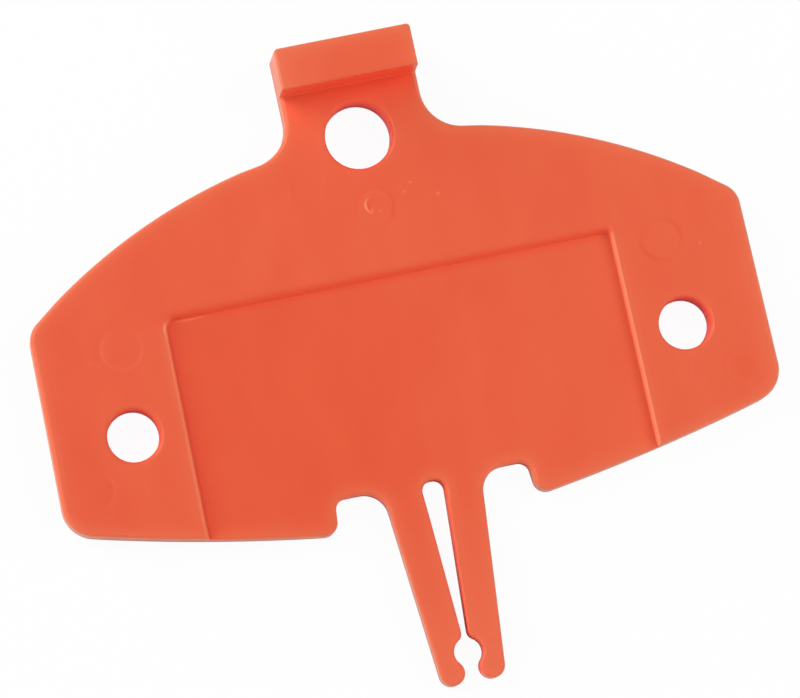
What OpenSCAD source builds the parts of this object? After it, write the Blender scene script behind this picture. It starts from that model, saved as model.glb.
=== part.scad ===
// Flat moulded plastic plate with a hanging tab, a raised grip lip, a shallow label recess,
// two side holes and a pair of spring legs that snap over a thin rod.
// Millimetres. The plate lies on its back: +Z is the front face, +Y runs to the hanging tab.

/* [Plate] */
// Width across the lower ends of the sides
plate_w = 70.2; // [60:0.1:85]
// Thickness of the plate
plate_t = 3; // [2:0.1:5]
// How far each side leans in towards its upper end
side_lean = 0.3; // [0:0.05:1]
// Radius of the crowned upper edge
crown_r = 55; // [44:0.5:70]
// Height of the crown's highest point above the line of the side holes
crown_rise = 24; // [22:0.5:30]
// Rounding where the crown meets the sides
shoulder_r = 2.4; // [0.5:0.1:3]
// Depth of the outer lower corners below the line of the side holes
corner_drop = 8; // [5:0.1:10]
// Rounding of the outer lower corners
lower_corner_r = 3.2; // [1:0.1:4]
// Depth of the lower edge beside the legs, below the line of the side holes
lobe_drop = 13.2; // [11.5:0.1:16]
// Radius of the slight bulge along each lower edge
lower_edge_r = 200; // [100:5:600]

/* [Side holes] */
// Distance between the two side holes
side_hole_spacing = 54; // [45:0.5:60]
// Diameter of each side hole
side_hole_d = 5; // [3:0.1:7]

/* [Hanging tab] */
// Width of the tab
tab_w = 13.4; // [11:0.1:18]
// Height of the tab's end above the line of the side holes
tab_rise = 33.2; // [30:0.1:42]
// Height of the hanging hole's centre above the line of the side holes
tab_hole_rise = 24; // [22:0.5:28]
// Diameter of the hanging hole
tab_hole_d = 6.4; // [4:0.1:8]
// Fillet between the tab and the crown
neck_r = 4; // [1:0.1:4.5]
// Rounding of the tab's end corners
tab_corner_r = 0.4; // [0.1:0.1:1]
// Wall kept around the hanging hole where the tab runs down into the plate
tab_wall = 2.5; // [1:0.1:4]

/* [Grip lip] */
// Width of the lip along the tab
lip_w = 4; // [2:0.1:5]
// Height of the lip above the front face
lip_rise = 3.5; // [1:0.1:6]
// Fillet at the foot of the lip
lip_foot_r = 0.6; // [0.1:0.1:1]
// How far each end of the lip draws in towards its top
lip_draft = 0.1; // [0.05:0.05:0.5]

/* [Label recess] */
// Width of the recess at the lower edge
recess_w = 44.2; // [30:0.1:46]
// Height of the recess's top wall above the line of the side holes
recess_rise = 10.3; // [6:0.1:14]
// Depth of the recess below the front face
recess_depth = 0.8; // [0.3:0.1:1.2]
// Rounding of the two upper corners of the recess
recess_corner_r = 0.6; // [0.2:0.1:3]

/* [Spring legs] */
// Distance between the lower lobes of the plate, across the legs
leg_gap_w = 19.5; // [16:0.1:24]
// Depth of the notch tops beside the legs, below the line of the side holes
notch_drop = 9.8; // [8:0.1:11]
// Rounding of the lower edge where it turns into the notch
lobe_r = 1.3; // [0.3:0.1:1.5]
// Rounding of the notch's outer top corner
notch_r = 1.1; // [0.3:0.1:1.5]
// How far the notch's outer wall leans in towards its top
notch_lean = 0.3; // [0:0.05:0.6]
// Fillet from the notch top to the leg
leg_fillet_r = 2.4; // [0.5:0.1:2.8]
// Width of a leg at its root
leg_w = 3.65; // [2.8:0.05:4.4]
// Width of the slot between the legs at its closed end
slot_w = 2.3; // [1.8:0.1:3]
// Rounding of the slot's closed end
slot_r = 1; // [0.3:0.1:1]
// Width of the slot at the throat above the rod seat
throat_gap = 0.6; // [0.4:0.02:1]
// Depth of the rod seat's centre below the line of the side holes
seat_drop = 26.5; // [22:0.5:34]
// Diameter of the rod that the seat holds
seat_d = 2.8; // [2:0.1:3.2]
// Rounding of the throat above the seat
throat_r = 0.9; // [0.3:0.1:1.2]
// Radius of the round leg tips
tip_r = 1.2; // [0.8:0.05:1.4]
// Width of the mouth between the leg tips
mouth_gap = 1.5; // [1:0.05:1.9]
// Distance from the leg's root down to the line that it flexes about
flex_drop = 3.7; // [3.2:0.1:5]
// Length of plate that reaches past the top of each leg's rounded end
cheek = 1; // [0.6:0.1:1.4]
// Radial clearance around the leg's rounded end
flex_clearance = 0.05; // [0.02:0.01:0.1]

/* [Hidden] */
$fn = 96;
moulded_orange = "#E86244";

// Heights over the line of the side holes
crown_centre = crown_rise - crown_r;
notch_top = -notch_drop;
seat_r = seat_d / 2;
seat = [0, -seat_drop];
panel_t = plate_t - recess_depth;

// The tip touches the seat's circle, so the seat's wall runs over into the tip
tip_x = mouth_gap / 2 + tip_r;
tip = [tip_x, -seat_drop - sqrt(pow(seat_r + tip_r, 2) - tip_x * tip_x)];

// The frame's origin is midway between the tab's end and the leg tips
mid_y = (tab_rise + tip[1] - tip_r) / 2;

// A point on the crown at a distance x from the middle
function crown_y(x) = crown_centre + sqrt(crown_r * crown_r - x * x);

// The point where a line from p touches a circle, on the side that is asked for
function touch_point(p, centre, r, side) =
    let (v = p - centre, a = atan2(v[1], v[0]) + side * acos(r / norm(v)))
    centre + r * [cos(a), sin(a)];

// The x of a straight edge from p to q at the height y
function edge_x(p, q, y) = p[0] + (q[0] - p[0]) * (y - p[1]) / (q[1] - p[1]);

// The point ahead on the line from p along the unit vector u, at a distance r from a centre
function reach_circle(p, u, centre, r) =
    let (v = p - centre, b = v * u)
    p + u * (-b - sqrt(b * b - v * v + r * r));

function unit(v) = v / norm(v);

// Short steps in the arc of a rounded corner
corner_steps = 12;

// One corner of an outline, rounded with its own radius
function corner_arc(before, corner, after) =
    let (
        p = [corner[0], corner[1]],
        u = unit([before[0], before[1]] - p),
        w = unit([after[0], after[1]] - p),
        half = acos(u * w) / 2,
        centre = p + unit(u + w) * corner[2] / sin(half),
        start = p + u * corner[2] / tan(half) - centre,
        end = p + w * corner[2] / tan(half) - centre,
        a0 = atan2(start[1], start[0]),
        turn = atan2(start[0] * end[1] - start[1] * end[0], start * end)
    )
    [for (i = [0:corner_steps])
        let (a = a0 + turn * i / corner_steps)
        centre + corner[2] * [cos(a), sin(a)]];

// An outline from corners [x, y, radius], where a radius of 0 leaves the corner as it is
function rounded(c) =
    let (n = len(c))
    [for (i = [0:n - 1]) each c[i][2] == 0
        ? [[c[i][0], c[i][1]]]
        : corner_arc(c[(i + n - 1) % n], c[i], c[(i + 1) % n])];

// Corners of the left half, from those of the right half, in the order that closes the outline
function mirrored(c) = [for (i = [len(c) - 1:-1:0]) [-c[i][0], c[i][1], c[i][2]]];

// The straight edges of the right leg
slot_top = [slot_w / 2, notch_top];
slot_end = [throat_gap / 2, -seat_drop + seat_r];
leg_top = [slot_w / 2 + leg_w, notch_top];
leg_end = touch_point(leg_top, tip, tip_r, -1);

// The line that the right leg flexes about, and the radius of its rounded end
flex_y = notch_top - flex_drop;
flex = [(edge_x(slot_top, slot_end, flex_y) + edge_x(leg_top, leg_end, flex_y)) / 2, flex_y];
flex_r = (edge_x(leg_top, leg_end, flex_y) - edge_x(slot_top, slot_end, flex_y)) / 2;
stub_end = flex_y + flex_r - cheek;

// The rounding of the slot's closed end can take up at most this share of the slot's width
slot_round_share = 0.45;
slot_end_r = min(slot_r, slot_round_share * slot_w);

// Length of edge left free for a rounded corner, in radii of that corner
corner_room = 1.3;

// The crowned edge in even steps between the neck fillet and the shoulder
side_top = [plate_w / 2 - side_lean, crown_y(plate_w / 2 - side_lean)];
side_low = [plate_w / 2, -corner_drop];
crown_start = tab_w / 2 + corner_room * neck_r;
crown_stop = side_top[0] - corner_room * shoulder_r;
crown_steps = 16;
crown_edge = [for (i = [0:crown_steps])
    let (x = crown_start + (crown_stop - crown_start) * i / crown_steps)
    [x, crown_y(x), 0]];

// The slightly bulged lower edge, in even steps between its two rounded ends
lobe = [leg_gap_w / 2, -lobe_drop];
lower_len = norm(side_low - lobe);
lower_dir = unit(lobe - side_low);
lower_in = [lower_dir[1], -lower_dir[0]];
lower_steps = 8;

// How far the lower edge stands out at a length s along it
function bulge(s) = sqrt(lower_edge_r * lower_edge_r - pow(s - lower_len / 2, 2))
    - sqrt(lower_edge_r * lower_edge_r - lower_len * lower_len / 4);
lower_start = corner_room * lower_corner_r;
lower_stop = lower_len - corner_room * lobe_r;
lower_edge = [for (i = [0:lower_steps])
    let (
        s = lower_start + (lower_stop - lower_start) * i / lower_steps,
        p = side_low + lower_dir * s - lower_in * bulge(s)
    )
    [p[0], p[1], 0]];

right_half = concat(
    [[tab_w / 2, tab_rise, tab_corner_r], [tab_w / 2, crown_y(tab_w / 2), neck_r]],
    crown_edge,
    [[side_top[0], side_top[1], shoulder_r], [side_low[0], side_low[1], lower_corner_r]],
    lower_edge,
    [
        [lobe[0], lobe[1], lobe_r],
        [lobe[0] - notch_lean, notch_top, notch_r],
        [leg_top[0], leg_top[1], leg_fillet_r],
        [edge_x(leg_top, leg_end, stub_end), stub_end, 0],
        [edge_x(slot_top, slot_end, stub_end), stub_end, 0],
        [slot_top[0], slot_top[1], slot_end_r]
    ]
);

// Plan of the whole plate with its tab and the two stubs that carry the legs
module plan() polygon(rounded(concat(right_half, mirrored(right_half))));

// The recess seen from the front, open at the lower edge
module recess_area() {
    top = recess_w / 2 - side_lean;
    right = [[top, recess_rise, recess_corner_r], [recess_w / 2, -2 * lobe_drop, 0]];
    polygon(rounded(concat(right, mirrored(right))));
}

// The part of the plan that belongs to the tab, with the wall round its hole
tab_seat_w = tab_w + 2 * neck_r;
tab_seat_y = tab_hole_rise - tab_hole_d / 2 - tab_wall;
module tab_area() translate([-tab_seat_w / 2, tab_seat_y]) square([tab_seat_w, tab_rise]);

module drilled(d, x, y) translate([x, y, -plate_t]) cylinder(d = d, h = 3 * plate_t);

// The plate's full-thickness rim: both wings with their holes, and the crown above the recess
module face_plate() color(moulded_orange) translate([0, -mid_y, 0]) difference() {
    linear_extrude(plate_t) difference() {
        plan();
        tab_area();
        recess_area();
    }
    for (side = [-1, 1]) drilled(side_hole_d, side * side_hole_spacing / 2, 0);
}

// The thinner floor of the recess, down to the two stubs with their round seats for the legs
module recess_panel() color(moulded_orange) translate([0, -mid_y, 0]) difference() {
    linear_extrude(panel_t) intersection() {
        plan();
        recess_area();
    }
    for (side = [-1, 1]) drilled(2 * (flex_r + flex_clearance), side * flex[0], flex[1]);
}

// The neck and tab with the hanging hole
module hanging_tab() color(moulded_orange) translate([0, -mid_y, 0]) difference() {
    linear_extrude(plate_t) intersection() {
        plan();
        tab_area();
    }
    drilled(tab_hole_d, 0, tab_hole_rise);
}

// The raised bar across the tab's end, with a fillet at its foot and ends that draw in to its top
module grip_lip() color(moulded_orange) translate([0, -mid_y, 0]) intersection() {
    translate([0, 0, plate_t]) linear_extrude(lip_rise) plan();
    rotate([90, 0, 90]) linear_extrude(tab_w, center = true) polygon(rounded([
        [tab_rise - lip_w - 2 * lip_foot_r, plate_t, 0],
        [tab_rise - lip_w, plate_t, lip_foot_r],
        [tab_rise - lip_w, plate_t + lip_rise, 0],
        [tab_rise + lip_w, plate_t + lip_rise, 0],
        [tab_rise + lip_w, plate_t - lip_foot_r, 0],
        [tab_rise - lip_w - 2 * lip_foot_r, plate_t - lip_foot_r, 0]
    ]));
    rotate([90, 0, 0]) linear_extrude(3 * tab_rise, center = true) polygon([
        [-tab_w / 2, plate_t],
        [tab_w / 2, plate_t],
        [tab_w / 2 - lip_draft, plate_t + lip_rise],
        [-tab_w / 2 + lip_draft, plate_t + lip_rise]
    ]);
}

// One spring leg: a rounded end to flex about, a slim arm, a throat, half the seat and a round tip
module spring_leg() {
    slot_dir = unit(slot_end - slot_top);
    slot_side = [-slot_dir[1], slot_dir[0]];
    throat = reach_circle(slot_top + slot_side * throat_r, slot_dir, seat, seat_r + throat_r);
    difference() {
        linear_extrude(panel_t) {
            translate(throat) circle(throat_r);
            translate(tip) circle(tip_r);
            polygon([
                [edge_x(slot_top, slot_end, flex_y), flex_y],
                throat - slot_side * throat_r,
                throat,
                seat + unit(throat - seat) * seat_r,
                seat + unit(tip - seat) * seat_r,
                tip,
                leg_end,
                [edge_x(leg_top, leg_end, flex_y), flex_y]
            ]);
        }
        drilled(seat_d, seat[0], seat[1]);
    }
    translate(flex) cylinder(r = flex_r, h = panel_t);
}

module left_leg() color(moulded_orange) translate([0, -mid_y, 0]) mirror([1, 0, 0]) spring_leg();

module right_leg() color(moulded_orange) translate([0, -mid_y, 0]) spring_leg();

face_plate();
recess_panel();
hanging_tab();
grip_lip();
left_leg();
right_leg();
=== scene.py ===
import math
import bpy
import numpy as np
from mathutils.geometry import delaunay_2d_cdt
from mathutils.kdtree import KDTree
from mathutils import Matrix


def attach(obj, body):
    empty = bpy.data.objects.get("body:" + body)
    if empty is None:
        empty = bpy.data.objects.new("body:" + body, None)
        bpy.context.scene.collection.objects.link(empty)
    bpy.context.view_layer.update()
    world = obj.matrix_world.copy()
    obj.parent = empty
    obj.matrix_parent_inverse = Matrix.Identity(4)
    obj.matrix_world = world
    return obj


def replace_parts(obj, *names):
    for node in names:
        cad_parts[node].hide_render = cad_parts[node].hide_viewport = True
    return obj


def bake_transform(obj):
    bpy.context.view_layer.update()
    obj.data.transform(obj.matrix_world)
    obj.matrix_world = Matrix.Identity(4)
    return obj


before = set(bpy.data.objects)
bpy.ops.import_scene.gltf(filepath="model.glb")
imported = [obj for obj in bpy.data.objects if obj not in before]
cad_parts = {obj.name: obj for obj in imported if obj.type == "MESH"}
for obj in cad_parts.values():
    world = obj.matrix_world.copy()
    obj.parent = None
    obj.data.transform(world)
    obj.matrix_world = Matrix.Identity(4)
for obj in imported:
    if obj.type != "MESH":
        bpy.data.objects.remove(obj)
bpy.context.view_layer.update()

# Outline of the moulding
# The whole object is one flat shot of orange polypropylene, so its pieces share one outline: a
# crowned plate with a hanging tab above and two spring legs below. Sizes are in millimetres,
# and heights are measured from the line through the two side holes.
plate_w = 70.2
plate_t = 3.0
side_lean = 0.3
crown_r = 55.0
crown_rise = 24.0
shoulder_r = 2.4
corner_drop = 8.0
lower_corner_r = 3.2
lobe_drop = 13.2
lower_edge_r = 200.0
tab_w = 13.4
tab_rise = 33.2
tab_corner_r = 0.4
neck_r = 4.0
leg_gap_w = 19.5
notch_drop = 9.8
lobe_r = 1.3
notch_r = 1.1
notch_lean = 0.3
leg_fillet_r = 2.4
leg_w = 3.65
slot_w = 2.3
slot_r = 1.0
throat_gap = 0.6
throat_r = 0.9
seat_drop = 26.5
seat_r = 1.4
tip_r = 1.2
mouth_gap = 1.5
arc_step = 0.16
straight_step = 0.55
corner_room = 1.3
crown_cuts = 60
lower_cuts = 40


def unit(v):
    return v / np.hypot(v[0], v[1])


def angle_of(v):
    return math.atan2(v[1], v[0])


def arc(centre, radius, start, turn):
    """Points of an arc from the angle start through the angle turn, in short even steps."""
    steps = max(6, round(abs(turn) * radius / arc_step))
    a = start + turn * np.arange(steps + 1) / steps
    return centre + radius * np.c_[np.cos(a), np.sin(a)]


def rounded(corners, closed=True):
    """A line from corners (x, y, radius), where a radius of 0 leaves the corner as it is."""
    rows = []
    n = len(corners)
    for i, (x, y, r) in enumerate(corners):
        p = np.array([x, y])
        if r == 0 or (not closed and i in (0, n - 1)):
            rows.append(p[None])
            continue
        u = unit(np.array(corners[i - 1][:2]) - p)
        w = unit(np.array(corners[(i + 1) % n][:2]) - p)
        half = math.acos(u @ w) / 2
        centre = p + unit(u + w) * r / math.sin(half)
        start = p + u * r / math.tan(half) - centre
        end = p + w * r / math.tan(half) - centre
        turn = math.atan2(start[0] * end[1] - start[1] * end[0], start @ end)
        rows.append(arc(centre, r, angle_of(start), turn))
    return np.concatenate(rows)


def spaced(points, closed, step):
    """The same line with its long straight runs divided into even steps."""
    rows = []
    ends = np.roll(points, -1, 0) if closed else points[1:]
    for p, q in zip(points, ends):
        cuts = max(1, math.ceil(np.hypot(*(q - p)) / step))
        rows.append(p + (q - p) * np.arange(cuts)[:, None] / cuts)
    return np.concatenate(rows if closed else rows + [points[-1:]])


def crown_y(x):
    return crown_rise - crown_r + np.sqrt(crown_r ** 2 - x * x)


side_top = np.array([plate_w / 2 - side_lean, crown_y(plate_w / 2 - side_lean)])
side_low = np.array([plate_w / 2, -corner_drop])
crown_from = tab_w / 2 + corner_room * neck_r
crown_to = side_top[0] - corner_room * shoulder_r
crown_x = np.linspace(crown_from, crown_to, crown_cuts)
crown_edge = np.c_[crown_x, crown_y(crown_x), 0 * crown_x]

# The lower edge bulges a little between its two rounded ends
lobe = np.array([leg_gap_w / 2, -lobe_drop])
lower_len = np.hypot(*(side_low - lobe))
lower_dir = unit(lobe - side_low)
lower_out = np.array([-lower_dir[1], lower_dir[0]])
along = np.linspace(corner_room * lower_corner_r, lower_len - corner_room * lobe_r, lower_cuts)
bulge = np.sqrt(lower_edge_r ** 2 - (along - lower_len / 2) ** 2)
bulge = bulge - math.sqrt(lower_edge_r ** 2 - lower_len ** 2 / 4)
lower_edge = side_low + along[:, None] * lower_dir + bulge[:, None] * lower_out
lower_edge = np.c_[lower_edge, 0 * along]

# The right leg: outer edge, round tip, half of the rod seat, throat and slot edge
seat = np.array([0, -seat_drop])
tip_x = mouth_gap / 2 + tip_r
tip = np.array([tip_x, -seat_drop - math.sqrt((seat_r + tip_r) ** 2 - tip_x ** 2)])
slot_top = np.array([slot_w / 2, -notch_drop])
slot_end = np.array([throat_gap / 2, -seat_drop + seat_r])
slot_dir = unit(slot_end - slot_top)
slot_side = np.array([-slot_dir[1], slot_dir[0]])
leg_top = np.array([slot_w / 2 + leg_w, -notch_drop])
leg_turn = angle_of(leg_top - tip) - math.acos(tip_r / np.hypot(*(leg_top - tip)))
reach = slot_top + slot_side * throat_r - seat
reach_in = reach @ slot_dir
reach_len = -reach_in - math.sqrt(reach_in ** 2 - reach @ reach + (seat_r + throat_r) ** 2)
throat = seat + reach + slot_dir * reach_len
tip_turn = angle_of(seat - tip) - 2 * math.pi - leg_turn
seat_turn = angle_of(throat - seat) - angle_of(tip - seat)
throat_turn = angle_of(-slot_side) - angle_of(seat - throat) - 2 * math.pi
leg_edge = np.concatenate([
    arc(tip, tip_r, leg_turn, tip_turn),
    arc(seat, seat_r, angle_of(tip - seat), seat_turn)[1:-1],
    arc(throat, throat_r, angle_of(seat - throat), throat_turn),
])
leg_edge = np.c_[leg_edge, 0 * leg_edge[:, 0]]

right_half = [(tab_w / 2, tab_rise, tab_corner_r), (tab_w / 2, crown_y(tab_w / 2), neck_r)]
right_half += [tuple(p) for p in crown_edge]
right_half += [(*side_top, shoulder_r), (*side_low, lower_corner_r)]
right_half += [tuple(p) for p in lower_edge]
right_half += [(*lobe, lobe_r), (lobe[0] - notch_lean, -notch_drop, notch_r)]
right_half += [(*leg_top, leg_fillet_r)] + [tuple(p) for p in leg_edge] + [(*slot_top, slot_r)]
left_half = [(-x, y, r) for x, y, r in reversed(right_half)]
outline = spaced(rounded(right_half + left_half), True, straight_step)
mid_y = (tab_rise + tip[1] - tip_r) / 2

# Holes of the moulding
# Three plain round holes left by core pins in the tool: a large one to hang the plate by, and one
# in each wing. Their rims have the same small rounding as the outline.
side_hole_x = 27.0
side_hole_r = 2.5
tab_hole_y = 24.0
tab_hole_r = 3.2


def ring(centre, radius):
    """A closed circle that runs the same way round as the outline."""
    return arc(np.array(centre), radius, 0, -2 * math.pi)[:-1]


hole_rims = [
    ring((-side_hole_x, 0), side_hole_r),
    ring((side_hole_x, 0), side_hole_r),
    ring((0, tab_hole_y), tab_hole_r),
]

# Rounded edges of the moulding
# The tool's cavity is slightly rounded along its edges, less on the legs, and least on the back, where
# the two halves of the tool meet. The legs' smaller rounding starts just below their roots.
edge_r = 0.4
leg_edge_r = 0.2
leg_edge_top = -10.8
leg_edge_change = 2.5
leg_edge_half = 8.0
back_edge_r = 0.15
guard = 0.06
edge_turns = np.radians([0, 15, 30, 45, 60, 75, 90])
edge_steps = list(edge_r * (1 - np.cos(edge_turns))) + [edge_r + guard]
plan_points = []
plan_edges = []


def offset(points, closed, distance):
    """The line moved sideways, to the right of the way that it runs."""
    run = np.roll(points, -1, 0) - points
    run = run / np.hypot(run[:, 0], run[:, 1])[:, None]
    back = np.roll(run, 1, 0)
    if not closed:
        run[-1] = back[-1]
        back[0] = run[0]
    n0 = np.c_[back[:, 1], -back[:, 0]]
    n1 = np.c_[run[:, 1], -run[:, 0]]
    return points + distance * (n0 + n1) / (1 + (n0 * n1).sum(1))[:, None]


def edge_drop(distance, radius):
    """How far a rounded edge lies below its face, at a distance in from the wall."""
    left = np.clip(radius - distance, 0, radius)
    return radius - np.sqrt(radius ** 2 - left ** 2)


def draw(points, closed):
    """Adds a line that the mesh has to follow."""
    first = len(plan_points)
    n = len(points)
    plan_points.extend(points.tolist())
    plan_edges.extend((first + i, first + (i + 1) % n) for i in range(n if closed else n - 1))


for step in edge_steps:
    draw(offset(outline, True, step), True)
    for rim in hole_rims:
        draw(offset(rim, True, -step), True)

# Label recess
# A shallow flat-floored pocket in the front, open at the lower edge. Its side walls are steep with a
# small rounding at the rim, and its upper rim rolls over broadly. The foot of the walls is crisp, and
# the right corner is tighter than the left one.
recess_w = 44.2
recess_rise = 10.1
recess_depth = 0.8
left_corner_r = 0.9
right_corner_r = 0.45
side_roll = 0.24
upper_roll = 1.0
roll_change = 1.8
recess_seam = 0.12
recess_top = recess_w / 2 - side_lean
recess_low = tip[1] - 2 * tip_r
recess_line = spaced(rounded([
    (-recess_w / 2, recess_low, 0),
    (-recess_top, recess_rise, left_corner_r),
    (recess_top, recess_rise, right_corner_r),
    (recess_w / 2, recess_low, 0),
], False), False, straight_step)
recess_steps = [-1.0, -0.85, -0.7, -0.56, -0.44, -0.33, -0.24, -0.19, -0.14, -0.1, -0.06, -0.03, 0]
for step in recess_steps + [guard, recess_seam]:
    draw(offset(recess_line, False, step), False)


def on_upper_wall(points):
    """How much of the wall beside each point is the upper one, from 0 at the sides to 1."""
    up = points[:, 1] - recess_rise
    out = np.abs(points[:, 0]) - recess_top
    share = np.clip((up - out) / roll_change + 0.5, 0, 1)
    return share ** 2 * (3 - 2 * share)


def recess_drop(points, s):
    """Depth of the recess at points that lie a distance s in from the foot of its wall."""
    roll = side_roll + (upper_roll - side_roll) * on_upper_wall(points)
    return recess_depth * np.clip(1 + s / roll, 0, 1) ** 3


# Grip lip
# A raised bar across the tab's end, moulded on, to pull the plate out by. Its walls draw in a little
# to its top so that the tool lets go of it, and its foot runs into the tab with a small fillet.
lip_w = 4.1
lip_rise = 3.5
lip_foot_r = 0.15
lip_draft = 0.05
lip_wall = 0.06
lip_top_r = 0.22
lip_edge_r = 0.2
lip_overrun = 1.0
lip_cuts = 7
lip_front = tab_rise - lip_w
lip_steps = list(lip_foot_r * (np.sin(edge_turns) - 1))
lip_steps += list(lip_wall * np.arange(1, lip_cuts) / lip_cuts)
lip_steps += list(lip_wall + lip_top_r * (1 - np.cos(edge_turns)))
lip_steps += [-lip_foot_r - guard, lip_wall + lip_top_r + guard]
lip_half = tab_w / 2 + lip_overrun
lip_line = spaced(np.array([(-lip_half, lip_front), (lip_half, lip_front)]), False, straight_step / 2)
for step in lip_steps:
    draw(lip_line + (0, step), False)


def lip_height(s):
    """Height of the lip over the front face, at a distance s in from its wall."""
    foot = np.clip(s + lip_foot_r, 0, lip_foot_r)
    foot = lip_foot_r - np.sqrt(lip_foot_r ** 2 - foot ** 2)
    wall = (lip_rise - lip_foot_r - lip_top_r) * np.clip(s / lip_wall, 0, 1)
    top = np.clip(lip_wall + lip_top_r - s, 0, lip_top_r)
    return foot + wall + np.sqrt(lip_top_r ** 2 - top ** 2)


# Marks of the tool, and two painted highlights
# Witness rings of four ejector pins in the wings, rings round the pin gate under the hanging hole,
# flow lines and specks. They are at most some hundredths of a millimetre deep, and paler or darker
# than the face. The two pale lines in the left corner of the recess are painted highlights, on its rim
# and at its foot.
pin_r = 2.0
pin_depth = 0.02
pin_half_w = 0.3
line_half_w = 0.18
gate_at = (0.1, 16.9)
mark_cuts = 5
# Each ring: centre, radius, half width, depth, tone, angle where it shows most, and least share of it
ring_marks_and_highlights = [
    ((-26.5, 8.3), pin_r, pin_half_w, pin_depth, 0.6, 180, 0.1),
    ((-26.5, 8.3), pin_r, pin_half_w, 0.0, 0.6, -35, 0.0),
    ((26.5, 8.4), pin_r, pin_half_w, pin_depth, -0.6, 35, 0.15),
    ((26.5, 8.4), pin_r, pin_half_w, 0.0, -0.6, 220, 0.0),
    ((26.5, 8.4), 1.4, pin_half_w, 0.0, 0.3, 20, 0.0),
    ((-31.9, -4.4), pin_r, pin_half_w, pin_depth, 0.2, 0, 0.2),
    ((31.9, -5.1), pin_r, pin_half_w, pin_depth, -0.25, 180, 0.2),
    (gate_at, 1.85, 0.3, 0.01, -0.5, -20, 0.2),
    (gate_at, 1.45, 0.25, 0.005, 0.5, 100, 0.2),
    # A painted highlight along the rim of the recess's left corner
    ((-20.95, 9.2), 1.1, 0.28, 0.0, 3.4, 160, 0.0),
    ((0.1, 17.15), 0.87, 0.18, -0.03, 4.4, 185, 0.0),
    ((0.1, 17.0), 0.5, 0.16, 0.02, -0.8, 170, 0.1),
]
# Each line: start, end, depth and tone
line_marks_and_highlights = [
    ((-1.9, 8.8), (-3.5, -1.7), 0.004, -0.12),
    ((-26.6, -3.3), (-26.9, -6.7), -0.006, 0.35),
    ((26.9, -3.3), (26.4, -5.9), -0.006, 0.25),
    ((-7.6, 21.2), (-7.8, 18.2), -0.006, 0.3),
    ((-3.9, 21.4), (-5.1, 17.7), -0.006, 0.3),
    # A painted highlight along the foot of the recess's upper wall, at its left end
    ((-21.4, 9.92), (-17.4, 9.92), -0.006, 4.2),
]
# Each speck: centre, radius, depth and tone
speck_marks = [
    ((-0.2, 16.6), 0.2, -0.02, 2.6),
    ((0.55, 16.4), 0.3, -0.02, 1.2),
    ((3.2, 17.8), 0.26, -0.02, 1.9),
    ((3.9, 18.6), 0.24, -0.02, 1.9),
    ((6.3, 17.0), 0.26, -0.02, 2.4),
    ((30.1, 7.3), 0.24, -0.02, 2.2),
    ((-29.6, 7.6), 0.25, -0.01, 0.7),
    ((-28.9, 7.1), 0.25, -0.01, 0.6),
    ((-24.1, 6.3), 0.25, -0.01, 0.6),
    ((31.9, -5.1), 2.0, 0.0, -0.3),
]
for centre, radius, half_w, *rest in ring_marks_and_highlights:
    for step in np.linspace(-half_w, half_w, mark_cuts):
        draw(ring(centre, radius + step), True)
for start, end, *rest in line_marks_and_highlights:
    line = spaced(np.array([start, end]), False, straight_step)
    for step in np.linspace(-line_half_w, line_half_w, mark_cuts):
        draw(offset(line, False, step), False)
for centre, radius, *rest in speck_marks:
    draw(np.array([centre]), False)
    for share in (1 / 3, 2 / 3, 1):
        draw(ring(centre, radius * share), True)


def hump(off, half_w):
    """A smooth rise from 0 at the sides of a mark to 1 on its middle line."""
    return (1 + np.cos(math.pi * np.clip(off / half_w, -1, 1))) / 2


def marks_and_highlights(points):
    """Depth of the marks in the front face, and how much paler they are, painted highlights included.
    """
    depths = np.zeros(len(points))
    tones = np.zeros(len(points))
    for (x, y), radius, half_w, depth, tone, side, least in ring_marks_and_highlights:
        dx, dy = points[:, 0] - x, points[:, 1] - y
        away = np.hypot(dx, dy)
        toward = dx * math.cos(math.radians(side)) + dy * math.sin(math.radians(side))
        lean = least + (1 - least) * np.clip(toward / np.maximum(away, half_w), 0, 1) ** 2
        depths += depth * lean * hump(away - radius, half_w)
        tones += tone * lean * hump(away - radius, half_w)
    for start, end, depth, tone in line_marks_and_highlights:
        a = np.array(start)
        run = np.array(end) - a
        along = (points - a) @ run / (run @ run)
        away = np.hypot(*(points - a - np.clip(along, 0, 1)[:, None] * run).T)
        fade = np.sin(math.pi * np.clip(along, 0, 1))
        depths += depth * fade * hump(away, line_half_w)
        tones += tone * fade * hump(away, line_half_w)
    for centre, radius, depth, tone in speck_marks:
        away = np.hypot(*(points - centre).T)
        depths += depth * hump(away, radius)
        tones += tone * hump(away, radius)
    return depths, tones


# One shot of plastic
# The melt fills the whole cavity at once. The plan is filled with triangles once, and every piece is
# cut from it along lines that don't show, so that the surface runs on from one piece to the next.
leg_seam = -11.74
leg_seam_half = 7.0
tab_seam_x = tab_w / 2 + neck_r
tab_seam_below = 2.5
tab_seam_y = tab_hole_y - tab_hole_r - tab_seam_below
grid_step = 0.9
grid_half = 36.0
wall_levels = 4
part_size = 500
join_within = 1e-6
least_turn = 1e-9
least_height = 1e-4
spots_per_mm = 1e5
tiny = 1e-30
leg_line = np.array([(-leg_seam_half, leg_seam), (leg_seam_half, leg_seam)])
tab_line = np.array([
    (-tab_seam_x, crown_rise),
    (-tab_seam_x, tab_seam_y),
    (tab_seam_x, tab_seam_y),
    (tab_seam_x, crown_rise),
])
for line in (leg_line, tab_line):
    draw(spaced(line, False, straight_step), False)


def in_parts(points):
    """The points in parts that are small enough to be worked on at once."""
    return np.array_split(points, max(1, len(points) // part_size))


def distance(points, line, closed):
    """Distance of each point from a line."""
    a = line if closed else line[:-1]
    v = (np.roll(line, -1, 0) - line)[:len(a)]
    size = (v * v).sum(1)
    rows = []
    for part in in_parts(points):
        w = part[:, None] - a[None]
        t = np.clip((w * v).sum(2) / size, 0, 1)
        rows.append(np.sqrt(((w - t[:, :, None] * v) ** 2).sum(2).min(1)))
    return np.concatenate(rows)


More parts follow.
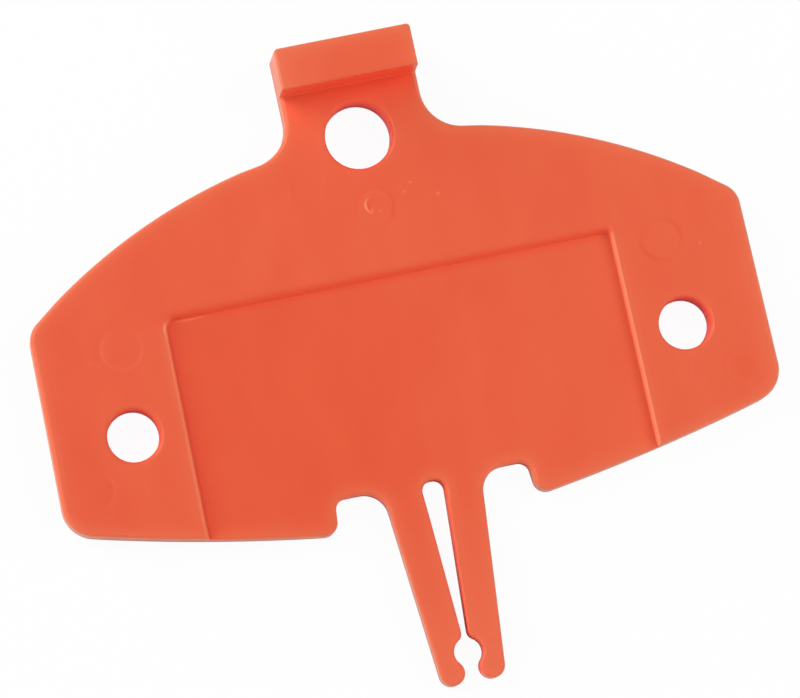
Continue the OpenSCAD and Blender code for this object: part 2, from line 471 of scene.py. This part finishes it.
def within(points, line):
    """Whether each point lies inside a closed line."""
    a, b = line, np.roll(line, -1, 0)
    rise = np.where(b[:, 1] == a[:, 1], 1, b[:, 1] - a[:, 1])
    rows = []
    for part in in_parts(points):
        x, y = part[:, :1], part[:, 1:]
        spans = (a[:, 1] > y) != (b[:, 1] > y)
        cross = a[:, 0] + (y - a[:, 1]) * (b[:, 0] - a[:, 0]) / rise
        rows.append((spans & (x < cross)).sum(1) % 2 == 1)
    return np.concatenate(rows)


def in_plan(points):
    inside = within(points, outline)
    for rim in hole_rims:
        inside &= ~within(points, rim)
    return inside


# An even grid of points fills the flat parts between the drawn lines
grid = []
for i, y in enumerate(np.arange(-grid_half, grid_half, grid_step * math.sqrt(3) / 2)):
    shift = grid_step / 2 * (i % 2)
    grid.extend((x + shift, y) for x in np.arange(-grid_half, grid_half, grid_step))
grid = np.array(grid)
grid = grid[in_plan(grid)]
near = KDTree(len(plan_points))
for i, p in enumerate(plan_points):
    near.insert((*p, 0), i)
near.balance()
clear = np.array([near.find((*p, 0))[2] for p in grid])
plan_points.extend(grid[clear > grid_step / 2].tolist())

filled = delaunay_2d_cdt(plan_points, plan_edges, [], 0, join_within)
plan = np.array([tuple(p) for p in filled[0]])
tris = np.array([tuple(f) for f in filled[2]])
corners = plan[tris]
turn = np.cross(corners[:, 1] - corners[:, 0], corners[:, 2] - corners[:, 0])
tris[turn < 0] = tris[turn < 0][:, ::-1]
tris = tris[in_plan(corners.mean(1)) & (np.abs(turn) > least_turn)]

# Heights of the back and the front, and of the lip's top
outer_distance = distance(plan, outline, True)
hole_distance = np.min([distance(plan, rim, True) for rim in hole_rims], 0)
rim_distance = np.minimum(outer_distance, hole_distance)
wall_distance = distance(plan, recess_line, False)
wall_distance = np.where(within(plan, recess_line), wall_distance, -wall_distance)
lip_distance = plan[:, 1] - lip_front
recess_depths = recess_drop(plan, wall_distance)
mark_depths, mark_and_highlight_tones = marks_and_highlights(plan)
leg_share = np.clip((leg_edge_top - plan[:, 1]) / leg_edge_change, 0, 1)
leg_share = leg_share * (np.abs(plan[:, 0]) < leg_edge_half)
front_drop = edge_drop(rim_distance, edge_r + (leg_edge_r - edge_r) * leg_share)
bottom = edge_drop(rim_distance, back_edge_r)
plate_top = plate_t - front_drop - recess_depths - mark_depths
lip_rises = lip_height(lip_distance)
lip_share = lip_rises / lip_rise
lip_top = plate_top + lip_rises + lip_share * (front_drop - edge_drop(rim_distance, lip_edge_r))

middle = plan[tris].mean(1)
middle_wall = distance(middle, recess_line, False)
in_legs = (middle[:, 1] < leg_seam) & (np.abs(middle[:, 0]) < leg_seam_half)
in_tab = (middle[:, 1] > tab_seam_y) & (np.abs(middle[:, 0]) < tab_seam_x)
in_lip = in_tab & (middle[:, 1] > lip_front - lip_foot_r)
in_panel = within(middle, recess_line) & (middle_wall > recess_seam) & ~in_legs
in_face = ~(in_legs | in_tab | in_panel)


def edge_keys(a, b):
    return a.astype(np.int64) * len(plan) + b


def half_edges(faces):
    return faces[:, [0, 1, 2]].ravel(), faces[:, [1, 2, 0]].ravel()


whole_keys = edge_keys(*half_edges(tris))


def drafted(points):
    """Points in the part's own frame. The lip's ends draw in towards its top."""
    rise = np.clip(points[:, 2] - plate_t, 0, lip_rise) / lip_rise
    x = points[:, 0] * (1 - rise * lip_draft / (tab_w / 2))
    return np.c_[x, points[:, 1] - mid_y, points[:, 2]]


def cut_shell(chosen, low, high, hidden):
    """Closed mesh over the chosen triangles between two heights. hidden marks triangles whose top
    lies under another piece. Returns the points, the faces, which faces show on the moulding, and
    the place in the plan of each point."""
    faces = tris[chosen]
    used = np.unique(faces)
    slot = np.full(len(plan), -1)
    slot[used] = np.arange(len(used))
    flat = high[used] - low[used] < least_height
    under = np.where(flat, np.arange(len(used)), len(used) + np.cumsum(~flat) - 1)
    place = [used, used[~flat]]
    height = [high[used], low[used][~flat]]
    a, b = half_edges(faces)
    lone = ~np.isin(edge_keys(b, a), edge_keys(a, b))
    a, b = a[lone], b[lone]
    free = ~np.isin(edge_keys(b, a), whole_keys)
    rim = np.unique(np.r_[a, b])
    thick = rim[~flat[slot[rim]]]
    column = np.full((len(plan), wall_levels + 1), -1)
    column[rim] = slot[rim][:, None]
    column[rim, 0] = under[slot[rim]]
    count = len(used) + int((~flat).sum())
    for k in range(1, wall_levels):
        column[thick, k] = count + np.arange(len(thick))
        count += len(thick)
        place.append(thick)
        height.append(low[thick] + (high[thick] - low[thick]) * k / wall_levels)
    built = slot[faces].tolist() + under[slot[faces]][:, ::-1].tolist()
    shown = (~hidden[chosen]).tolist() + [True] * len(faces)
    for k in range(wall_levels):
        quads = np.c_[column[a, k], column[b, k], column[b, k + 1], column[a, k + 1]]
        for quad, is_free in zip(quads.tolist(), free.tolist()):
            face = list(dict.fromkeys(quad))
            if len(face) > 2:
                built.append(face)
                shown.append(is_free)
    place = np.concatenate(place)
    return drafted(np.c_[plan[place], np.concatenate(height)]), built, shown, place


no_cover = np.zeros(len(tris), bool)
shells = {
    "face_plate": cut_shell(in_face, bottom, plate_top, no_cover),
    "recess_panel": cut_shell(in_panel, bottom, plate_top, no_cover),
    "hanging_tab": cut_shell(in_tab, bottom, plate_top, in_lip),
    "grip_lip": cut_shell(in_lip, plate_top, lip_top, no_cover),
    "left_leg": cut_shell(in_legs & (middle[:, 0] < 0), bottom, plate_top, no_cover),
    "right_leg": cut_shell(in_legs & (middle[:, 0] > 0), bottom, plate_top, no_cover),
}

# The surface is smoothed over the whole moulding, so that no cut shows
every_point = np.concatenate([shell[0] for shell in shells.values()])
whole_steps = np.round(every_point * spots_per_mm).astype(np.int64)
spot = np.unique(whole_steps, axis=0, return_inverse=True)[1].ravel()
smooth = np.zeros((spot.max() + 1, 3))
piece_spots = {}
piece_normals = {}
first = 0
for name, (points, faces, shown, place) in shells.items():
    spots = spot[first:first + len(points)]
    first += len(points)
    sizes = np.array([len(f) for f in faces])
    flat_normals = np.zeros((len(faces), 3))
    for size in np.unique(sizes):
        rows = np.flatnonzero(sizes == size)
        ids = np.array([faces[i] for i in rows])
        p = points[ids]
        ahead = np.roll(p, -1, 1) - p
        behind = np.roll(p, 1, 1) - p
        if size == 3:
            normal = np.cross(ahead[:, 0], behind[:, 0])
        else:
            normal = np.cross(p[:, 2] - p[:, 0], p[:, 3] - p[:, 1])
        normal /= np.linalg.norm(normal, axis=1)[:, None] + tiny
        flat_normals[rows] = normal
        dot = (ahead * behind).sum(2)
        dot /= np.linalg.norm(ahead, axis=2) * np.linalg.norm(behind, axis=2) + tiny
        weight = np.arccos(np.clip(dot, -1, 1)) * np.array(shown)[rows][:, None]
        for k in range(size):
            np.add.at(smooth, spots[ids[:, k]], normal * weight[:, k:k + 1])
    piece_spots[name] = spots
    piece_normals[name] = flat_normals
smooth /= np.linalg.norm(smooth, axis=1)[:, None] + tiny

# Polypropylene, satin as moulded
# The real plastic lets a little light through, and that light is painted into its colour: a painted
# glow pales its outer edges and rims, and its shaded inner corners, the shade under the lip and the
# hole walls are painted a full red where others would go dark. Its outer walls carry painted shade,
# and a painted contact shadow at their foot. The flow of the melt leaves soft clouds of tone and gloss,
# and a faint orange peel.

# Tones count steps of paleness. The lists give the painted highlight down each side wall of the recess:
# its places across the wall, from the wall's foot, and its share there
left_wall_highlight = 1.7
left_highlight_at = [-0.42, -0.24, -0.06, 0.02]
left_highlight_share = [0, 1, 1, 0]
right_wall_highlight = 4.2
right_highlight_at = [-0.3, -0.2, -0.1, 0.02]
right_highlight_share = [0, 1, 0.85, 0]
recess_left_shade = -0.4
recess_shade_from = 22.5
recess_shade_change = 30.0
recess_shade_low = -14.0
recess_shade_rise = 4.0
light_across_tone = 0.35
overall_tone = 0.13
leg_glow_tone = 0.85
leg_glow_len = 18.0
lip_left_light_tone = 0.7

# How much paler or darker each place is than the plain orange. Besides the marks, this holds painted
# highlights on the recess's side walls, painted shade towards the left of the recess floor, painted
# light that pales the plate towards the right, a painted glow down the legs and painted light on the
# lip's left half
x = plan[:, 0]
y = plan[:, 1]
side_wall = 1 - on_upper_wall(plan)
left_highlight = left_wall_highlight * np.interp(wall_distance, left_highlight_at, left_highlight_share)
right_highlight = right_wall_highlight * np.interp(wall_distance, right_highlight_at, right_highlight_share)
tones = mark_and_highlight_tones + np.where(x > 0, right_highlight, left_highlight) * side_wall
# Painted shade: the recess floor darker towards the left
shade_to_left = np.clip((recess_shade_from - x) / recess_shade_change, 0, 1)
shade_to_left *= np.clip((y - recess_shade_low) / recess_shade_rise, 0, 1)
tones += recess_left_shade * shade_to_left * recess_depths / recess_depth
# Painted light: the face pales evenly towards the right, on top of an even step
tones += overall_tone + light_across_tone * x / (plate_w / 2)
# Painted glow: the legs pale towards their tips
tones += leg_glow_tone * np.clip((leg_edge_top - y) / leg_glow_len, 0, 1) * (np.abs(x) < leg_edge_half)
# Painted light: the lip paler on its left half, where light falls on it from the left
tones += lip_left_light_tone * np.clip(-x / (tab_w / 2), 0, 1) * (lip_distance > 0)

# Distance from the nearest edge that has a painted glow. The legs and the rims of holes and recess glow
# less
hole_glow_from = 0.7
leg_glow_from = 0.4
recess_glow_from = 0.25
upper_glow_from = 0.5
upper_glow_loss = 3.0
above_recess = np.maximum(y - recess_rise + upper_glow_from, 0)
recess_rim = np.abs(wall_distance + side_roll / 2) + recess_glow_from + upper_glow_loss * above_recess
leg_rim = outer_distance + leg_glow_from * leg_share
glow_distance = np.min([leg_rim, hole_distance + hole_glow_from, recess_rim], 0)

# Painted shade: how much of a deeper red each place takes in the shaded fold at the foot of the
# recess's walls
left_corner_shade = 0.9
left_corner_reach = 1.2
right_corner_shade = 0.5
right_corner_reach = 0.5
upper_corner_shade = 0.6
upper_corner_at = -0.1
upper_corner_reach = 0.45
corner_shade_start = 0.06
into = np.maximum(wall_distance, 0)
left_share = left_corner_shade * np.exp(-into / left_corner_reach)
right_share = right_corner_shade * np.exp(-into / right_corner_reach)
side_share = np.where(x > 0, right_share, left_share) * np.clip(wall_distance / corner_shade_start, 0, 1)
upper_share = upper_corner_shade * np.exp(-((wall_distance - upper_corner_at) / upper_corner_reach) ** 2)
recess_corner_shade = side_share * side_wall + upper_share * (1 - side_wall)

# Painted shade: how much each place is painted a deeper red under the lip and in a hole, painted
# duller on an outer wall, and painted with a contact shadow at the foot of a wall
lip_shade = 1.0
lip_shade_reach = 2.2
lip_shade_power = 1.5
lip_shade_top = 0.4
lip_shade_left_loss = 0.35
lip_shade_left = 5.0
hole_shade_tint = 0.9
hole_shade_full = 0.5
wall_shade_from = 0.12
wall_shade_least = 0.6
contact_shadow_from = 0.9
contact_shadow_full = 0.3
contact_shadow_tint = 0.5

# The walls of the slot and the tops of the notches lie deep in shadow, and take the same painted red
# shade as the holes
slot_shade_tint = 0.25
slot_half = 2.0
slot_change = 0.6
notch_reach = 1.5
notch_change = 1.0
in_hole = hole_distance < edge_r / 2
in_slot = np.clip((slot_half - np.abs(x)) / slot_change, 0, 1)
in_notch = np.clip((y + notch_drop + notch_reach) / notch_change, 0, 1)
in_notch *= np.abs(x) < leg_gap_w / 2
in_slot = np.maximum(in_slot, in_notch) * (y < slot_r - notch_drop) * (outer_distance < edge_r / 2)


def corner_shade_share(points, place):
    """How much each point is painted a deeper red as shade, in the shaded inner corners and under the
    lip.
    """
    lip = lip_distance[place]
    down = np.exp(-(np.maximum(-lip, 0) / lip_shade_reach) ** lip_shade_power)
    up = np.clip((plate_t + lip_rise - points[:, 2]) / lip_shade_top, 0, 1)
    near_lip = (lip < lip_wall + lip_top_r) & (np.abs(x[place]) < tab_w / 2 - edge_r)
    left_less = 1 - lip_shade_left_loss * np.clip(-x[place] / lip_shade_left, 0, 1)
    return np.maximum(recess_corner_shade[place], lip_shade * left_less * down * up * near_lip)


def hole_shade_share(points, place):
    """How much each point is painted a full red as shade, in a hole or in the slot, below its rim."""
    deep = np.clip((plate_t - points[:, 2]) / hole_shade_full, 0, 1)
    return deep * (hole_shade_tint * in_hole + slot_shade_tint * in_slot)[place]


def wall_shade_share(points, place):
    """How much painted shade, a duller colour, each point takes on the outer wall, most on its lower
    half.
    """
    low = np.clip(plate_t / 2 - points[:, 2], 0, 1)
    near_edge = np.clip(1 - outer_distance[place] / wall_shade_from, 0, 1)
    return near_edge * (wall_shade_least + (1 - wall_shade_least) * low) * (1 - in_slot[place])


def contact_shadow_share(points, place):
    """How much painted contact shadow each point takes at the foot of a wall, next to the paper."""
    low = np.clip((contact_shadow_from - points[:, 2]) / (contact_shadow_from - contact_shadow_full), 0, 1)
    return contact_shadow_tint * low * (rim_distance[place] < wall_shade_from) * (1 - in_slot[place])


def add_node(tree, kind, inputs=None, **settings):
    """Adds a node. inputs gives an input socket, by name or number, a value or another's output."""
    made = tree.nodes.new(kind)
    for key, value in settings.items():
        setattr(made, key, value)
    for key, value in (inputs or {}).items():
        if isinstance(value, bpy.types.NodeSocket):
            tree.links.new(value, made.inputs[key])
        else:
            made.inputs[key].default_value = value
    return made


def linear(hex_colour):
    """An sRGB hex colour as linear RGBA."""
    parts = [int(hex_colour[i:i + 2], 16) / 255 for i in (1, 3, 5)]
    return [c / 12.92 if c <= 0.04045 else ((c + 0.055) / 1.055) ** 2.4 for c in parts] + [1.0]


orange_low = "#E95A3A"
orange_high = "#EE6543"
# The paler painted glow of the edges, then the colours of the painted shade in corners, holes, on outer
# walls and at their foot
painted_glow_orange = "#F58A62"
corner_shade_red = "#FF5A3A"
hole_shade_red = "#FF4836"
wall_shade_orange = "#CF7A5C"
contact_shadow_brown = "#B85040"
tone_step = (0.03, 0.034, 0.022)
cloud_mm = (4.0, 9.0, 9.0)
# Real orange peel is about 0.5 mm across, which is too fine to show, so it is drawn coarser
peel_mm = 1.8
peel_depth_mm = 0.01
glow_mm = 0.55
glow_most = 0.5
gloss_range = (0.285, 0.335)
polypropylene_ior = 1.49
polypropylene = bpy.data.materials.new("polypropylene_satin_moulded")
polypropylene.use_nodes = True
tree = polypropylene.node_tree
tree.nodes.clear()
where = add_node(tree, "ShaderNodeAttribute", attribute_name="mould_mm")
rim = add_node(tree, "ShaderNodeAttribute", attribute_name="painted_glow_mm")
tone = add_node(tree, "ShaderNodeAttribute", attribute_name="tone")
stretch = add_node(tree, "ShaderNodeVectorMath", {
    0: where.outputs["Vector"],
    1: [1 / mm for mm in cloud_mm],
}, operation="MULTIPLY")
cloud = add_node(tree, "ShaderNodeTexNoise", {
    "Vector": stretch.outputs[0],
    "Scale": 1.0,
    "Detail": 3.0,
    "Roughness": 0.5,
})
peel = add_node(tree, "ShaderNodeTexNoise", {
    "Vector": where.outputs["Vector"],
    "Scale": 1 / peel_mm,
    "Detail": 1.0,
})
relief = add_node(tree, "ShaderNodeBump", {
    "Height": peel.outputs["Fac"],
    "Distance": peel_depth_mm / 1000,
})
gloss = add_node(tree, "ShaderNodeMapRange", {
    "Value": cloud.outputs["Fac"],
    "To Min": gloss_range[0],
    "To Max": gloss_range[1],
})
mottle = add_node(tree, "ShaderNodeMix", {
    0: cloud.outputs["Fac"],
    6: linear(orange_low),
    7: linear(orange_high),
}, data_type="RGBA")
toned = add_node(tree, "ShaderNodeVectorMath", {
    0: tone.outputs["Fac"],
    1: tone_step,
    2: mottle.outputs[2],
}, operation="MULTIPLY_ADD")
# Painted glow: the colour pales towards the edges and rims
fade = add_node(tree, "ShaderNodeMath", {0: rim.outputs["Fac"], 1: -1 / glow_mm}, operation="MULTIPLY")
fade = add_node(tree, "ShaderNodeMath", {0: fade.outputs[0]}, operation="EXPONENT")
fade = add_node(tree, "ShaderNodeMath", {0: fade.outputs[0], 1: glow_most}, operation="MULTIPLY")
edge = add_node(tree, "ShaderNodeMix", {
    0: fade.outputs[0],
    6: toned.outputs[0],
    7: linear(painted_glow_orange),
}, data_type="RGBA")
# Painted shade: the corner, hole, outer-wall and contact-shadow colours are laid over the glowing
# colour
painted_shading = edge
for key, colour in (
    ("painted_corner_shade", corner_shade_red),
    ("painted_hole_shade", hole_shade_red),
    ("painted_wall_shade", wall_shade_orange),
    ("painted_contact_shadow", contact_shadow_brown),
):
    share = add_node(tree, "ShaderNodeAttribute", attribute_name=key)
    painted_shading = add_node(tree, "ShaderNodeMix", {
        0: share.outputs["Fac"],
        6: painted_shading.outputs[2],
        7: linear(colour),
    }, data_type="RGBA")
body = add_node(tree, "ShaderNodeBsdfPrincipled", {
    "Base Color": painted_shading.outputs[2],
    "Roughness": gloss.outputs[0],
    "Normal": relief.outputs[0],
    "IOR": polypropylene_ior,
})
add_node(tree, "ShaderNodeOutputMaterial", {"Surface": body.outputs["BSDF"]})


def moulded(name):
    """Makes one piece of the moulding from its shell, in place of the node of that name."""
    points, faces, shown, place = shells[name]
    spots = piece_spots[name]
    mesh = bpy.data.meshes.new("moulded_" + name)
    mesh.from_pydata((points / 1000).tolist(), [], faces)
    mesh.shade_smooth()
    normals = []
    for face, shows, flat in zip(faces, shown, piece_normals[name]):
        normals.extend(smooth[spots[v]] if shows else flat for v in face)
    mesh.normals_split_custom_set(normals)
    where_mm = mesh.attributes.new("mould_mm", "FLOAT_VECTOR", "POINT")
    where_mm.data.foreach_set("vector", points.astype(np.float32).ravel())
    on_front = points[:, 2] > plate_t / 2
    for key, values in (
        ("painted_glow_mm", glow_distance[place]),
        ("tone", tones[place] * on_front),
        ("painted_corner_shade", corner_shade_share(points, place) * on_front),
        ("painted_hole_shade", hole_shade_share(points, place)),
        ("painted_wall_shade", wall_shade_share(points, place)),
        ("painted_contact_shadow", contact_shadow_share(points, place)),
    ):
        kept = mesh.attributes.new(key, "FLOAT", "POINT")
        kept.data.foreach_set("value", values.astype(np.float32))
    mesh.materials.append(polypropylene)
    piece = bpy.data.objects.new("moulded_" + name, mesh)
    bpy.context.scene.collection.objects.link(piece)
    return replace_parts(piece, name)


# Face plate
# The full-thickness part of the moulding: both wings with their holes, the crown over the recess and
# the strip of wall round it. It carries the other pieces, which are one with it.
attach(moulded("face_plate"), "plate")

# Recess panel
# The thinner floor of the label recess, down to the notches and the roots of the two legs.
# It is one with the face plate along the foot of the recess's walls.
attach(moulded("recess_panel"), "plate")

# Hanging tab and grip lip
# The tab that the plate hangs by, with its hole, and the raised bar across its end. Both are
# moulded with the plate, and the tab runs into the crown through two rounded necks.
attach(moulded("hanging_tab"), "plate")
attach(moulded("grip_lip"), "plate")

# Spring legs
# Two tapered legs with half of a rod seat each, moulded with the panel. They spring apart when a rod
# is pushed in between their tips.
for name, side in (("left_leg", -1), ("right_leg", 1)):
    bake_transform(moulded(name))

# Floor
# A wide sheet of white paper that the plate lies on. It takes the plate's soft shadow, and beyond
# the plate it is seen as plain white.
floor_half = 3.0
paper_white = "#F4F4F4"
plain_white = "#FFFFFF"
white_share = 0.95
white_from = 0.02
floor_mesh = bpy.data.meshes.new("floor")
floor_mesh.from_pydata([
    (-floor_half, -floor_half, 0),
    (floor_half, -floor_half, 0),
    (floor_half, floor_half, 0),
    (-floor_half, floor_half, 0),
], [], [(0, 1, 2, 3)])
floor = bpy.data.objects.new("floor", floor_mesh)
bpy.context.scene.collection.objects.link(floor)
paper = bpy.data.materials.new("white_paper_sweep")
paper.use_nodes = True
tree = paper.node_tree
tree.nodes.clear()
matt = add_node(tree, "ShaderNodeBsdfDiffuse", {"Color": linear(paper_white)})
bright = add_node(tree, "ShaderNodeEmission", {"Color": linear(plain_white), "Strength": 1.0})
path = add_node(tree, "ShaderNodeLightPath")
seen = add_node(tree, "ShaderNodeMath", {
    0: path.outputs["Is Camera Ray"],
    1: path.outputs["Is Glossy Ray"],
}, operation="MAXIMUM")
seen = add_node(tree, "ShaderNodeMath", {
    0: seen.outputs[0],
    1: path.outputs["Is Transmission Ray"],
}, operation="MAXIMUM")
# A reflection from closer than white_from shows the paper as it is lit
far = add_node(tree, "ShaderNodeMath", {
    0: path.outputs["Ray Length"],
    1: white_from,
}, operation="GREATER_THAN")
seen = add_node(tree, "ShaderNodeMath", {0: seen.outputs[0], 1: far.outputs[0]}, operation="MULTIPLY")
share = add_node(tree, "ShaderNodeMath", {0: seen.outputs[0], 1: white_share}, operation="MULTIPLY")
mixed = add_node(tree, "ShaderNodeMixShader", {
    0: share.outputs[0],
    1: matt.outputs[0],
    2: bright.outputs[0],
})
add_node(tree, "ShaderNodeOutputMaterial", {"Surface": mixed.outputs[0]})
floor_mesh.materials.append(paper)

# Studio light
# A dim white room and seven soft boxes round the plate, each 300 mm square and 600 mm away.
# Those lower than 50 degrees pick out the walls and the edges, and the plate doesn't mirror them, so
# that its flat faces keep their colour from a low side too.
room_light = 0.10
lamp_size = 0.30
lamp_away = 0.60
no_glare_below = 50
world = bpy.data.worlds.new("studio")
bpy.context.scene.world = world
world.use_nodes = True
tree = world.node_tree
tree.nodes.clear()
sky = add_node(tree, "ShaderNodeBackground", {"Color": linear(plain_white), "Strength": room_light})
add_node(tree, "ShaderNodeOutputWorld", {"Surface": sky.outputs[0]})


def lamp(name, around, above, power):
    """A soft box that points at the plate, at an angle around it from +X and an angle above it."""
    light = bpy.data.lights.new(name, "AREA")
    light.shape = "SQUARE"
    light.size = lamp_size
    light.energy = power
    a, e = math.radians(around), math.radians(above)
    out = lamp_away * math.cos(e)
    box = bpy.data.objects.new(name, light)
    box.location = (out * math.cos(a), out * math.sin(a), lamp_away * math.sin(e))
    box.rotation_euler = (-box.location).to_track_quat("-Z", "Y").to_euler()
    box.visible_glossy = above > no_glare_below
    bpy.context.scene.collection.objects.link(box)


lamp("top_softbox", 150, 65, 0.6)
lamp("right_softbox", 10, 40, 1.3)
lamp("back_left_softbox", 135, 40, 1.0)
lamp("front_right_softbox", 315, 40, 0.6)
lamp("low_back_left_softbox", 135, 15, 1.7)
lamp("low_left_softbox", 205, 15, 1.4)
lamp("low_front_right_softbox", 315, 15, 0.9)

# Camera
# A long lens nearly half a metre above the plate, a little to its lower left. It is turned about its
# own line of sight, so that the plate stands tilted in the picture. Metres, millimetres and degrees.
camera_at = (-0.053399, -0.047562, 0.478776)
camera_turn = (7.0138, -4.9872, -12.1524)
lens_mm = 226.96
sensor_mm = 36.0
eye = bpy.data.cameras.new("camera")
eye.sensor_width = sensor_mm
eye.lens = lens_mm
camera = bpy.data.objects.new("camera", eye)
camera.location = camera_at
camera.rotation_euler = [math.radians(a) for a in camera_turn]
bpy.context.scene.collection.objects.link(camera)
bpy.context.scene.camera = camera
bpy.context.scene.view_settings.view_transform = "Standard"
